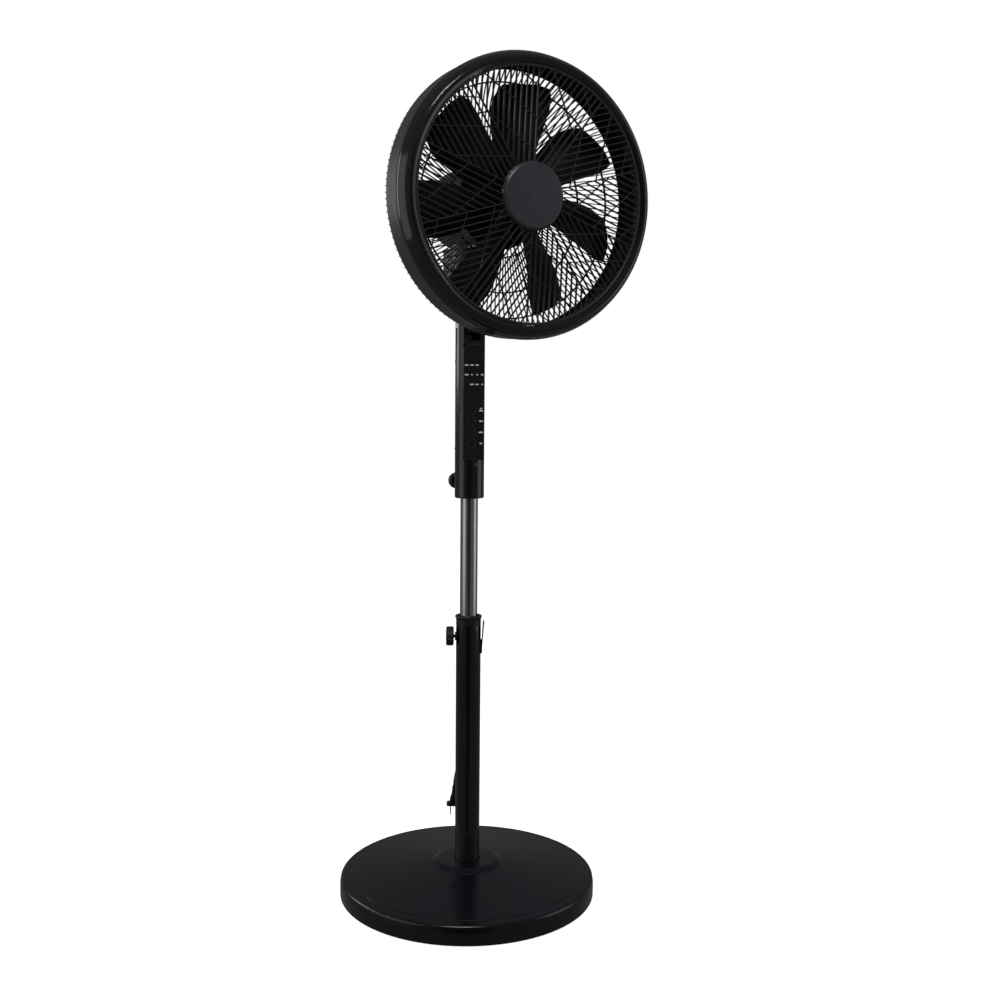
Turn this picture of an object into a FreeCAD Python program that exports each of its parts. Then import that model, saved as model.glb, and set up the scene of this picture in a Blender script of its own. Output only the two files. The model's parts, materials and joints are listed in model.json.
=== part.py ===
"""Pedestal fan, millimetres. Origin: centre of the base on the floor, +Z up, the head blows towards -Y."""
import FreeCAD, Part
import math
import os

V = FreeCAD.Vector

# ---- driving dimensions ----------------------------------------------------------------------------
BASE_R = 200.0
BASE_RIM_Z = 32.0
FOOT_H = 5.0
FOOT_R = 13.0
FOOT_CIRCLE = 168.0
WEIGHT_R = 188.0
WEIGHT_TOP = 17.0
WEIGHT_PLATE = 3.5
BOSS_CIRCLE = 150.0
SOCKET_BOLT_CIRCLE = 42.0
SHELL = 2.5

POLE_R = 19.25
POLE_WALL = 1.2
SOCKET_TOP = 102.0
SPIGOT_TOP = 150.0
POLE_TOP = 431.0
COLLAR_TOP = 445.0

CHROME_R = 13.5
CHROME_WALL = 1.5
CHROME_BOTTOM = 330.0
CHROME_TOP = 684.0
RUN_GAP = 0.05

COLUMN_R = 22.5
COLUMN_WALL = 2.2
COLUMN_BOTTOM = 629.0
PANEL_BOTTOM = 688.0
COLUMN_TOP = 863.0
FLAT_Y = -13.9
PANEL_HALF_W = 18.0
PANEL_T = 1.8

HEIGHT_KNOB_Z = 412.0
HEIGHT_KNOB_BEARING = 152.3
COLUMN_KNOB_Z = 651.0
SCREW_R = 2.4

BUTTON_X = -2.4
BUTTON_TOP_Z = 763.5
BUTTON_PITCH = 17.0
BUTTON_R = 4.2
LIGHT_ROWS = (831.3, 816.8, 802.2)
BUTTON_NAMES = ("power_button", "speed_button", "swing_button", "timer_button")

TILT_Z = 893.0
TONGUE_R = 17.0
TONGUE_HALF = 9.2
FORK_HALF = 10.5
BOLT_R = 3.9
NECK_TOP = 958.0
PIN_R = 8.0
MODULE = 1.0
SECTOR_TEETH = 48
PINION_TEETH = 12
GEAR_Z = 960.0
GEAR_T = 6.0
PINION_Y = MODULE * (SECTOR_TEETH + PINION_TEETH) / 2

HEAD_Z = 1062.4
MOTOR_R = 54.0
COVER_R = 60.0
MOTOR_FRONT_Y = -88.0
SHAFT_R = 4.0
RING_R = 194.8
DRUM_R = 193.5
DRUM_REAR_Y = -134.0
DRUM_FRONT_Y = -178.0
LIP_R = 175.5
LIP_Y = -191.0
HUB_R = 46.0
HUB_Y = -193.0
BLADES = 7
BLADE_TIP_R = 160.0
BLADE_MID_Y = -138.0
SECTORS = 10
SECTOR_START = 15.5
RIB_W = 1.8
RIB_PITCH = 8.5
CROSS_BARS = (60.0, 104.0, 147.5)
BAR_LEAN = 60.0
REAR_RIBS = 60
REAR_LEAN = 22.0

CORD_R = 2.7
CORD_BEARING = 62.3
RELIEF_Z = 365.0
LEAD_ROUTE = [(0, 37, 348), (2.2, 50.5, 334.5), (7.0, 57.0, 316), (10.5, 57.6, 298)]
PLUG_ROUTE = [(-13.5, 57.0, 225), (-14.9, 52.4, 208), (-17.3, 44.3, 194), (-19.6, 36.5, 181),
              (-21.0, 31.6, 170), (-21.5, 30, 160.5)]
ARC_SHARE = 0.45
HANK_R = 16.3
HANK_HALF_W = 6 * CORD_R
HANK_EDGE = 5.0
PLUG_ACROSS = -21.5
PLUG_OUT = 30.0
PLUG_FACE_Z = 129.5

PARTS = {}


# ---- helpers ---------------------------------------------------------------------------------------
def keep(name, shape):
    """Store one node; a group of solids is stored as a compound."""
    PARTS[name] = shape


def rod(start, end, radius):
    """Solid cylinder between two points."""
    along = end - start
    return Part.makeCylinder(radius, along.Length, start, along)


def upright(radius, low, high, x=0.0, y=0.0):
    return Part.makeCylinder(radius, high - low, V(x, y, low))


def pipe(outer, inner, low, high):
    return upright(outer, low, high).cut(upright(inner, low - 1, high + 1))


def box(x0, x1, y0, y1, z0, z1):
    return Part.makeBox(x1 - x0, y1 - y0, z1 - z0, V(x0, y0, z0))


def joined(first, *others):
    shape = first.fuse(list(others))
    return shape.removeSplitter()


def polar(radius, degrees, height):
    turn = math.radians(degrees)
    return V(radius * math.cos(turn), radius * math.sin(turn), height)


def flat_polar(radius, degrees):
    """x and y of a point at a bearing from the pole axis."""
    spot = polar(radius, degrees, 0)
    return spot.x, spot.y


def rounded_edges(corners, radii, closed):
    """Straight runs joined by tangent arcs through a list of corners, with one radius per corner."""
    count = len(corners)
    starts = list(corners)
    ends = list(corners)
    arcs = [None] * count
    for i, corner in enumerate(corners):
        inner = closed or 0 < i < count - 1
        if not inner or radii[i] <= 0:
            continue
        back = (corners[i - 1] - corner).normalize()
        ahead = (corners[(i + 1) % count] - corner).normalize()
        half_turn = (math.pi - back.getAngle(ahead)) / 2
        reach = radii[i] * math.tan(half_turn)
        starts[i] = corner + back * reach
        ends[i] = corner + ahead * reach
        towards = (back + ahead).normalize()
        middle = corner + towards * (radii[i] / math.cos(half_turn) - radii[i])
        arcs[i] = Part.Arc(starts[i], middle, ends[i]).toShape()
    edges = []
    for i in range(count):
        if arcs[i] is not None:
            edges.append(arcs[i])
        if closed or i < count - 1:
            following = starts[(i + 1) % count]
            if ends[i].distanceToPoint(following) > 1e-6:
                edges.append(Part.LineSegment(ends[i], following).toShape())
    return edges


def outline(points, place):
    """Closed wire from (a, b) or (a, b, radius) corners, put in space by place(a, b)."""
    corners = [place(p[0], p[1]) for p in points]
    radii = [p[2] if len(p) > 2 else 0.0 for p in points]
    return Part.Wire(rounded_edges(corners, radii, True))


def turned(points):
    """Solid of revolution about the pole axis from (radius, height) corners."""
    wire = outline(points, lambda r, z: V(r, 0, z))
    return Part.Face(wire).revolve(V(0, 0, 0), V(0, 0, 1), 360)


def spun(points):
    """Solid of revolution about the fan shaft from (radius, y) corners."""
    wire = outline(points, lambda r, y: V(r, y, HEAD_Z))
    return Part.Face(wire).revolve(V(0, 0, HEAD_Z), V(0, 1, 0), 360)


def shaftwise(radius, y0, y1, x=0.0, z=HEAD_Z):
    return Part.makeCylinder(radius, y1 - y0, V(x, y0, z), V(0, 1, 0))


def plate_z(points, z0, z1):
    """Prism standing on an (x, y) outline."""
    wire = outline(points, lambda x, y: V(x, y, z0))
    return Part.Face(wire).extrude(V(0, 0, z1 - z0))


def plate_y(points, y0, y1):
    """Prism along Y on an (x, z) outline."""
    wire = outline(points, lambda x, z: V(x, y0, z))
    return Part.Face(wire).extrude(V(0, y1 - y0, 0))


def gear(teeth, z0, z1, x, y, turn, first=0, last=None):
    """Spur gear with straight-sided teeth and backlash; first..last limits a toothed sector."""
    pitch_r = MODULE * teeth / 2
    root = pitch_r - 1.25 * MODULE
    tip = pitch_r + 0.9 * MODULE
    half = 90.0 / teeth
    last = teeth if last is None else last
    solid = upright(root, z0, z1, x, y)
    wedges = []
    for i in range(first, last):
        centre = turn + 360.0 * i / teeth
        sides = ((root - 0.3, half * 1.25), (pitch_r, half * 0.86), (tip, half * 0.42))
        right = [polar(r, centre - a, 0) for r, a in sides]
        left = [polar(r, centre + a, 0) for r, a in reversed(sides)]
        corners = [(p.x + x, p.y + y) for p in right + left]
        wedges.append(plate_z(corners, z0, z1))
    return joined(solid, *wedges)


# ---- base ------------------------------------------------------------------------------------------
def cover_top(radius):
    """Height of the domed top of the base cover."""
    return BASE_RIM_Z + (BASE_R - radius) * 0.121



def make_base():
    step_r = 182.0
    cover = turned([
        (POLE_R + 1.0, 53.0), (POLE_R + 1.0, 55.6, 0.6), (46.0, 54.8, 6), (56.0, cover_top(56.0), 6),
        (step_r, cover_top(step_r), 1), (step_r + 1.2, 33.3, 0.6),
        (BASE_R - 1.5, BASE_RIM_Z, 5), (BASE_R, 22.0, 8), (BASE_R, 2.5, 1.2),
        (BASE_R - SHELL, 2.5, 1), (BASE_R - SHELL, 22.0, 6), (BASE_R - 4.5, BASE_RIM_Z - 2.6, 3),
        (step_r, cover_top(step_r) - 3.2), (56.0, cover_top(56.0) - SHELL)])
    bosses = []
    pilots = []
    for i in range(4):
        spot = polar(BOSS_CIRCLE, 45 + 90 * i, 0)
        bosses.append(upright(5.0, WEIGHT_TOP, cover_top(BOSS_CIRCLE) - 1.5, spot.x, spot.y))
        pilots.append(upright(1.9, WEIGHT_TOP - 1, 28.0, spot.x, spot.y))
    keep("base_cover", joined(cover, *bosses).cut(Part.makeCompound(pilots)))

    plate_z0 = WEIGHT_TOP - WEIGHT_PLATE
    weight = turned([(15.0, FOOT_H), (58.0, FOOT_H, 1), (62.0, plate_z0, 3), (182.0, plate_z0, 2),
                     (183.0, FOOT_H, 1), (WEIGHT_R, FOOT_H, 1), (WEIGHT_R, WEIGHT_TOP, 2),
                     (15.0, WEIGHT_TOP)])
    lugs = [upright(7.5, FOOT_H, WEIGHT_TOP - 1, *flat_polar(BOSS_CIRCLE, 45 + 90 * i)) for i in range(4)]
    lugs += [upright(FOOT_R, FOOT_H, WEIGHT_TOP - 1, *flat_polar(FOOT_CIRCLE, 90 + 72 * i)) for i in range(5)]
    weight = joined(weight, *lugs)
    holes = []
    screws = []
    for i in range(4):
        spot = polar(BOSS_CIRCLE, 45 + 90 * i, 0)
        holes.append(upright(2.2, 0, 20, spot.x, spot.y))
        holes.append(upright(4.6, 0, FOOT_H + 3.5, spot.x, spot.y))
        head = upright(4.0, FOOT_H + 0.8, FOOT_H + 3.5, spot.x, spot.y)
        screws.append(joined(head, upright(1.8, FOOT_H + 3, 27, spot.x, spot.y)))
    for i in range(4):
        spot = polar(SOCKET_BOLT_CIRCLE, 90 * i, 0)
        holes.append(upright(3.2, 0, 20, spot.x, spot.y))
        holes.append(upright(6.0, 0, FOOT_H + 5.0, spot.x, spot.y))
        head = upright(5.2, FOOT_H + 0.8, FOOT_H + 5.0, spot.x, spot.y)
        screws.append(joined(head, upright(2.9, FOOT_H + 4, 23.5, spot.x, spot.y)))
    keep("base_weight", weight.cut(Part.makeCompound(holes)))
    keep("base_screws", Part.makeCompound(screws))

    feet = []
    for i in range(5):
        pad = upright(FOOT_R, 0, FOOT_H, *flat_polar(FOOT_CIRCLE, 90 + 72 * i))
        feet.append(pad.makeFillet(1.2, [e for e in pad.Edges if e.BoundBox.ZMax < 0.01]))
    keep("rubber_feet", Part.makeCompound(feet))

    socket = turned([
        (14.5, WEIGHT_TOP), (55.0, WEIGHT_TOP), (55.0, 24.0, 1), (26.0, 26.0, 4), (POLE_R + 0.05, 44.0, 6),
        (POLE_R + 0.05, SOCKET_TOP - 0.1, 0.4), (17.9, SOCKET_TOP - 0.1), (17.9, SPIGOT_TOP, 0.8),
        (14.5, SPIGOT_TOP)])
    taps = [upright(3.0, 10, 24, *flat_polar(SOCKET_BOLT_CIRCLE, 90 * i)) for i in range(4)]
    keep("pole_socket", socket.cut(Part.makeCompound(taps)))


# ---- pole, collar and its clamp ----------------------------------------------------------------------
def knob_axis():
    return polar(1.0, HEIGHT_KNOB_BEARING, 0)


def star_knob(origin, axis, radius, thickness, ribs):
    """Ribbed clamp knob: its back face at origin, growing along axis."""
    disc = Part.makeCylinder(radius, thickness, V(0, 0, 0), V(0, 0, 1))
    disc = disc.makeFillet(2.0, [disc.Edges[0], disc.Edges[2]])
    flutes = []
    for i in range(ribs):
        spot = polar(radius + 1.1, 360.0 * i / ribs, -1)
        flutes.append(Part.makeCylinder(1.9, thickness + 2, spot, V(0, 0, 1)))
    disc = disc.cut(Part.makeCompound(flutes))
    disc.Placement = FreeCAD.Placement(origin, FreeCAD.Rotation(V(0, 0, 1), axis))
    return disc


def make_pole():
    axis = knob_axis()
    at_z = V(0, 0, HEIGHT_KNOB_Z)
    inner = POLE_R - POLE_WALL
    tube = pipe(POLE_R, inner, SOCKET_TOP, POLE_TOP)
    lead_hole = rod(cord_point(0, 10, RELIEF_Z), cord_point(0, 25, RELIEF_Z), 5.9)
    nut_hole = rod(at_z + axis * 14, at_z + axis * 25, 6.6)
    keep("lower_tube", tube.cut(lead_hole).cut(nut_hole))

    collar = turned([
        (15.0, 392.0), (inner - 0.05, 392.0, 0.8), (inner - 0.05, POLE_TOP + 0.1),
        (POLE_R + 0.05, POLE_TOP + 0.1),
        (POLE_R + 0.1, 440.0, 2), (21.0, 443.4, 0.5), (20.4, COLLAR_TOP, 0.5),
        (15.6, COLLAR_TOP - 1.2), (15.0, 442.0)])
    nut = rod(at_z + axis * 15.3, at_z + axis * 21.0, 6.5)
    thread = rod(at_z + axis * 10, at_z + axis * 30, SCREW_R + RUN_GAP)
    keep("height_collar", joined(collar, nut).cut(thread))

    bush = pipe(14.95, CHROME_R + RUN_GAP, 392.0, 441.5)
    slit = rod(at_z + axis * 10, at_z + axis * 20, 4.0)
    keep("collar_bush", bush.cut(slit).cut(box(-20, -10, -0.8, 0.8, 390, 445)))

    screw = rod(at_z + axis * 14.0, at_z + axis * 29.0, SCREW_R)
    knob = star_knob(at_z + axis * 23.0, axis, 15.0, 11.5, 18)
    keep("height_knob", joined(knob, screw))

    side = axis * -1
    across = V(-side.y, side.x, 0)
    tongue = [(17.0, 386), (21.4, 386, 1), (21.9, 401, 4), (24.6, 433, 1), (24.2, 436.5, 1), (22.3, 436.5, 1),
              (20.6, 407, 3), (17.0, 404)]
    wire = outline(tongue, lambda r, z: side * r + across * -6 + V(0, 0, z))
    hook = Part.Face(wire).extrude(across * 12)
    keep("cord_hook", hook.cut(upright(POLE_R + 0.02, 380, 440)))


# ---- power lead --------------------------------------------------------------------------------------

def cord_point(across, out, height):
    """Point in the lead's own frame: across to the right, out from the pole axis, height."""
    outward = polar(1.0, CORD_BEARING, 0)
    return outward * out + V(outward.y, -outward.x, 0) * across + V(0, 0, height)


def cord_tube(name, route):
    """Round lead along straight runs joined by tangent arcs."""
    points = [cord_point(*p) for p in route]
    radii = [0.0] * len(points)
    for i in range(1, len(points) - 1):
        before = points[i] - points[i - 1]
        after = points[i + 1] - points[i]
        half_turn = before.getAngle(after) / 2
        radii[i] = ARC_SHARE * min(before.Length, after.Length) / math.tan(half_turn)
    print(name, "bend radii", [round(r, 1) for r in radii[1:-1]])
    path = Part.Wire(rounded_edges(points, radii, False))
    ring = Part.Wire(Part.makeCircle(CORD_R, points[0], points[1] - points[0]))
    tube = path.makePipeShell([ring], True, False)
    print(name, "length", round(path.Length, 1), "volume ratio",
          round(tube.Volume / (math.pi * CORD_R ** 2 * path.Length), 4))
    keep(name, tube)


def make_cord():
    tip = cord_point(*LEAD_ROUTE[0])
    heel = cord_point(0, POLE_R + 0.7, RELIEF_Z)
    slope = (tip - heel).normalize()
    sleeve = Part.makeCone(5.2, 3.7, (tip - heel).Length, heel, slope)
    outward = cord_point(0, 1, 0)
    flange = Part.makeCylinder(8.2, 2.6, cord_point(0, POLE_R - 0.6, RELIEF_Z), outward)
    neck = Part.makeCylinder(5.8, 3.0, cord_point(0, 17.9, RELIEF_Z), outward)
    ball = Part.makeSphere(5.2, heel)
    relief = joined(flange, ball, sleeve).cut(upright(POLE_R + 0.02, 340, 390))
    throat = neck.common(upright(POLE_R + 0.1, 340, 390)).cut(upright(POLE_R - POLE_WALL + 0.05, 340, 390))
    keep("cord_relief", joined(relief, throat))

    cord_tube("power_cord", LEAD_ROUTE)
    cord_tube("plug_cord", PLUG_ROUTE)

    out_mid = 41.3
    low, high, half = 197.0, 320.0, HANK_R + CORD_R
    corners = [(out_mid - half, low, half - 0.01), (out_mid + half, low, half - 0.01),
               (out_mid + half, high, half - 0.01), (out_mid - half, high, half - 0.01)]
    wire = outline(corners, lambda out, z: cord_point(-HANK_HALF_W, out, z))
    sideways = cord_point(1, 0, 0)
    hank = Part.Face(wire).extrude(sideways * 2 * HANK_HALF_W)
    keep("cord_hank", hank.makeFillet(HANK_EDGE, hank.Edges))

    def tie_ring(grow):
        edge = HANK_EDGE + grow
        side = HANK_HALF_W + grow
        near, far = out_mid - half - grow, out_mid + half + grow
        ring = [(-side, near, edge), (side, near, edge), (side, far, edge), (-side, far, edge)]
        return Part.Face(outline(ring, lambda u, out: cord_point(u, out, 254))).extrude(V(0, 0, 9))
    keep("cord_tie", tie_ring(1.3).cut(tie_ring(0.1)))

    def slab(half_u, half_v, z, radius):
        signs = ((-1, -1), (1, -1), (1, 1), (-1, 1))
        ring = [(PLUG_ACROSS + u * half_u, PLUG_OUT + v * half_v, radius) for u, v in signs]
        return outline(ring, lambda u, out: cord_point(u, out, z))
    flange = Part.Face(slab(12.5, 8.0, PLUG_FACE_Z, 4)).extrude(V(0, 0, 4.0))
    body = Part.makeLoft([slab(8.0, 6.5, PLUG_FACE_Z + 3.5, 3), slab(7.0, 6.0, PLUG_FACE_Z + 12, 3),
                          slab(4.6, 4.6, PLUG_FACE_Z + 19, 3)], True, True)
    neck = Part.makeCone(4.6, 3.5, 13.0, cord_point(PLUG_ACROSS, PLUG_OUT, PLUG_FACE_Z + 18), V(0, 0, 1))
    blades = []
    for side in (-6.35, 6.35):
        centre = PLUG_ACROSS + side
        corners = [(PLUG_OUT - 3.2, PLUG_FACE_Z - 16, 1.5), (PLUG_OUT + 3.2, PLUG_FACE_Z - 16, 1.5),
                   (PLUG_OUT + 3.2, PLUG_FACE_Z + 3), (PLUG_OUT - 3.2, PLUG_FACE_Z + 3)]
        wire = outline(corners, lambda out, z: cord_point(centre - 0.75, out, z))
        blade = Part.Face(wire).extrude(sideways * 1.5)
        eye_ends = [cord_point(centre + side, PLUG_OUT, PLUG_FACE_Z - 12) for side in (-2, 2)]
        eye = rod(*eye_ends, 1.6)
        blades.append(blade.cut(eye))
    pins = Part.makeCompound(blades)
    keep("plug_body", joined(flange, body, neck).cut(pins))
    keep("plug_blades", pins)


# ---- sliding mast: chrome tube and control column ------------------------------------------------------
def column_prism(radius, flat_y, z0, z1):
    """Round column with its front cut flat."""
    solid = upright(radius, z0, z1)
    return solid.cut(box(-60, 60, -60, flat_y, z0 - 1, z1 + 1))


def make_column():
    keep("inner_tube", pipe(CHROME_R, CHROME_R - CHROME_WALL, CHROME_BOTTOM, CHROME_TOP))
    guide = pipe(POLE_R - POLE_WALL - RUN_GAP, CHROME_R + 0.02, CHROME_BOTTOM, CHROME_BOTTOM + 20)
    outward = cord_point(0, 1, 0)
    low = outward * 18.5 + V(0, 0, CHROME_BOTTOM - 1)
    channel = rod(low, low + V(0, 0, 26), 4.6)
    keep("tube_guide", guide.cut(channel))

    lower = upright(COLUMN_R, COLUMN_BOTTOM, PANEL_BOTTOM)
    lower = lower.makeFillet(1.2, [e for e in lower.Edges if e.BoundBox.ZMax < COLUMN_BOTTOM + 0.01])
    upper = column_prism(COLUMN_R, FLAT_Y + PANEL_T, PANEL_BOTTOM, COLUMN_TOP)
    rim = column_prism(COLUMN_R, FLAT_Y, PANEL_BOTTOM, COLUMN_TOP).cut(
        box(-PANEL_HALF_W - 0.1, PANEL_HALF_W + 0.1, -40, FLAT_Y + PANEL_T, PANEL_BOTTOM, COLUMN_TOP + 1))
    inside = COLUMN_R - COLUMN_WALL
    hollow = upright(inside, COLUMN_BOTTOM + 3, PANEL_BOTTOM - 2)
    hollow_up = column_prism(inside, FLAT_Y + PANEL_T + COLUMN_WALL, PANEL_BOTTOM - 3, COLUMN_TOP + 1)
    window = box(-14.5, 14.5, -20, 0, PANEL_BOTTOM + 8, COLUMN_TOP - 14)
    body = joined(lower, upper, rim).cut(hollow).cut(hollow_up).cut(window)
    posts = []
    bores = []
    screws = []
    for x in (-16.6, 16.6):
        for z in (704.0, 836.0):
            posts.append(shaftwise(3.0, -12.0, 15.5, x, z).common(upright(COLUMN_R - 0.5, 690, 860)))
            bores.append(shaftwise(1.5, -9.0, 30.0, x, z))
            bores.append(shaftwise(2.7, 12.0, 30.0, x, z))
            screws.append(joined(shaftwise(1.4, -8.0, 12.5, x, z), shaftwise(2.5, 12.1, 14.0, x, z)))
    body = joined(body, *posts)
    bores.append(upright(CHROME_R + RUN_GAP, COLUMN_BOTTOM - 1, COLUMN_BOTTOM + 5))
    knob_boss = shaftwise(8.5, 18.0, 27.0, 0, COLUMN_KNOB_Z).cut(upright(inside, 630, 680))
    body = joined(body, knob_boss)
    bores.append(shaftwise(6.2, 10.0, 24.0, 0, COLUMN_KNOB_Z))
    bores.append(shaftwise(3.2, 10.0, 30.0, 0, COLUMN_KNOB_Z))
    bores.append(shaftwise(3.05, -30.0, -15.0, 0, 681.0))
    body = body.cut(Part.makeCompound(bores))
    keep("column_front_shell", body.common(box(-40, 40, -40, -0.05, 600, 900)))
    keep("column_rear_shell", body.common(box(-40, 40, 0.05, 40, 600, 900)))
    keep("column_screws", Part.makeCompound(screws))

    clamp = pipe(inside - 0.1, CHROME_R + 0.02, COLUMN_BOTTOM + 3.2, PANEL_BOTTOM - 4)
    nut = shaftwise(6.0, 14.5, 23.8, 0, COLUMN_KNOB_Z).cut(upright(CHROME_R + 0.5, 620, 690))
    clamp = joined(clamp, nut).cut(shaftwise(SCREW_R + RUN_GAP, 10, 30, 0, COLUMN_KNOB_Z))
    clamp = clamp.cut(box(-25, 25, -30, -14.8, 620, 690)).cut(box(-1, 1, -30, 0, 620, 690))
    keep("tube_clamp", clamp)
    screw = shaftwise(SCREW_R, 14.0, 46.0, 0, COLUMN_KNOB_Z)
    knob = star_knob(V(0, 40.0, COLUMN_KNOB_Z), V(0, 1, 0), 12.5, 11.0, 16)
    keep("column_knob", joined(knob, screw))
    keep("remote_sensor", shaftwise(3.0, -22.9, -15.2, 0, 681.0).common(upright(22.8, 670, 690)))

    clip = 5.0
    left, right = -PANEL_HALF_W, PANEL_HALF_W
    low, high = PANEL_BOTTOM + 0.1, COLUMN_TOP - 0.3
    edge = [(left + clip, low, 1), (right - clip, low, 1), (right, low + clip, 1), (right, high, 0.5),
            (left + clip * 0.8, high, 1), (left, high - clip, 1), (left, low + clip, 1)]
    panel = plate_y(edge, FLAT_Y, FLAT_Y + PANEL_T - 0.05)
    holes = [shaftwise(BUTTON_R + 0.3, -20, -5, BUTTON_X, BUTTON_TOP_Z - BUTTON_PITCH * i) for i in range(4)]
    keep("control_panel", panel.cut(Part.makeCompound(holes)))

    switches = []
    for i, name in enumerate(BUTTON_NAMES):
        z = BUTTON_TOP_Z - BUTTON_PITCH * i
        cap = shaftwise(BUTTON_R, -14.9, -11.0, BUTTON_X, z)
        cap = cap.makeFillet(0.8, [e for e in cap.Edges if e.BoundBox.YMax < -14.85])
        flange = shaftwise(5.4, -11.9, -11.0, BUTTON_X, z)
        stem = shaftwise(1.8, -11.2, -10.4, BUTTON_X, z)
        keep(name, joined(cap, flange, stem))
        base = box(BUTTON_X - 3, BUTTON_X + 3, -9.2, -7.6, z - 3, z + 3)
        switches.append(joined(base, shaftwise(1.4, -9.6, -9.1, BUTTON_X, z)))
    lights = [shaftwise(1.5, -11.0, -7.5, x, z) for z in LIGHT_ROWS for x in (-8.6, 0.0, 8.6)]
    board = box(-12.5, 12.5, -7.6, -6.0, 700, 842)
    keep("circuit_board", joined(board, *switches, *lights))
    keep("run_capacitor", box(-10, 10, -4, 8, 770, 806))


# ---- tilt fork and neck ----------------------------------------------------------------------------------
def make_neck():
    top_r = 16.0
    disc = Part.makeCylinder(top_r, 60, V(-30, 0, TILT_Z), V(1, 0, 0))
    ears = joined(box(-30, 30, -top_r, top_r, COLUMN_TOP + 4, TILT_Z), disc)
    ears = ears.common(column_prism(COLUMN_R, FLAT_Y, COLUMN_TOP, TILT_Z + 20))
    gap = box(-FORK_HALF, FORK_HALF, -40, 40, COLUMN_TOP + 5, TILT_Z + 30)
    foot = column_prism(COLUMN_R, FLAT_Y, COLUMN_TOP + 0.1, COLUMN_TOP + 5)
    plug = column_prism(COLUMN_R - COLUMN_WALL - 0.15, -9.2, COLUMN_TOP - 16, COLUMN_TOP + 1)
    well = upright(11.0, COLUMN_TOP - 20, COLUMN_TOP + 6)
    swept = Part.makeCylinder(TONGUE_R + 0.6, 60, V(-30, 0, TILT_Z), V(1, 0, 0))
    web = box(-FORK_HALF - 1, FORK_HALF + 1, 2, 14, COLUMN_TOP + 4, TILT_Z - 12).cut(swept)
    fork = joined(ears.cut(gap), foot, plug, web).cut(well)
    bolt_hole = Part.makeCylinder(BOLT_R + 0.1, 60, V(-30, 0, TILT_Z), V(1, 0, 0))
    head_seat = Part.makeCylinder(7.0, 10, V(-30, 0, TILT_Z), V(1, 0, 0))
    nut_seat = Part.makeCylinder(7.2, 10, V(20.0, 0, TILT_Z), V(1, 0, 0))
    keep("tilt_fork", fork.cut(bolt_hole).cut(head_seat).cut(nut_seat))

    shank = Part.makeCylinder(BOLT_R, 41.5, V(-21.0, 0, TILT_Z), V(1, 0, 0))
    head = Part.makeCylinder(6.6, 2.2, V(-22.3, 0, TILT_Z), V(1, 0, 0))
    bolt = joined(shank, head)
    flats = [polar(6.8, 60 * i + 30, 0) for i in range(6)]
    hexagon = outline([(p.x, p.y + TILT_Z) for p in flats], lambda y, z: V(20.05, y, z))
    nut = Part.Face(hexagon).extrude(V(2.6, 0, 0))
    bore = Part.makeCylinder(BOLT_R + 0.02, 60, V(-30, 0, TILT_Z), V(1, 0, 0))
    hardware = [bolt, nut.cut(bore)]
    for x in (-FORK_HALF + 0.05, TONGUE_HALF + 0.1):
        ring = Part.makeCylinder(12.0, 1.1, V(x, 0, TILT_Z), V(1, 0, 0))
        hardware.append(ring.cut(bore))
    keep("tilt_bolt_set", Part.makeCompound(hardware))

    tongue = Part.makeCylinder(TONGUE_R, 2 * TONGUE_HALF, V(-TONGUE_HALF, 0, TILT_Z), V(1, 0, 0))
    stem = box(-TONGUE_HALF, TONGUE_HALF, -13, 13, TILT_Z, 932)
    cup = turned([(0, 918.0), (9.0, 918.0), (17.0, 930.0, 5), (17.0, NECK_TOP, 1), (0, NECK_TOP)])
    nose = upright(4.5, TILT_Z - 12, 922, 0, -12.6).common(box(-10, 10, -30, -8, 870, 930))
    bore = Part.makeCylinder(BOLT_R + RUN_GAP, 60, V(-30, 0, TILT_Z), V(1, 0, 0))
    neck = joined(tongue, stem, cup, nose).cut(bore).cut(upright(PIN_R + 0.02, 934, 970))
    keep("neck_bracket", neck)
    pin = upright(PIN_R, 934.1, 999.0).cut(pipe(12, PIN_R - 1.0, 995.4, 996.8))
    keep("swivel_pin", pin)
    reach = 14
    sector = gear(SECTOR_TEETH, GEAR_Z, GEAR_Z + GEAR_T, 0, 0, 90 + 360.0 / SECTOR_TEETH / 2, -reach, reach)
    hub = upright(14.0, NECK_TOP + 0.1, GEAR_Z + GEAR_T)
    far_side = box(-40, 40, -40, -16, GEAR_Z - 1, GEAR_Z + GEAR_T + 1)
    keep("swing_sector", joined(sector.cut(far_side), hub).cut(upright(PIN_R + 0.02, 950, 970)))
    washer = pipe(13.0, PIN_R + 0.02, GEAR_Z + GEAR_T + 0.05, GEAR_Z + GEAR_T + 1.4)
    clip = pipe(11.5, PIN_R - 0.95, 995.5, 996.7)
    keep("swivel_washers", Part.makeCompound([washer, clip]))


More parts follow.
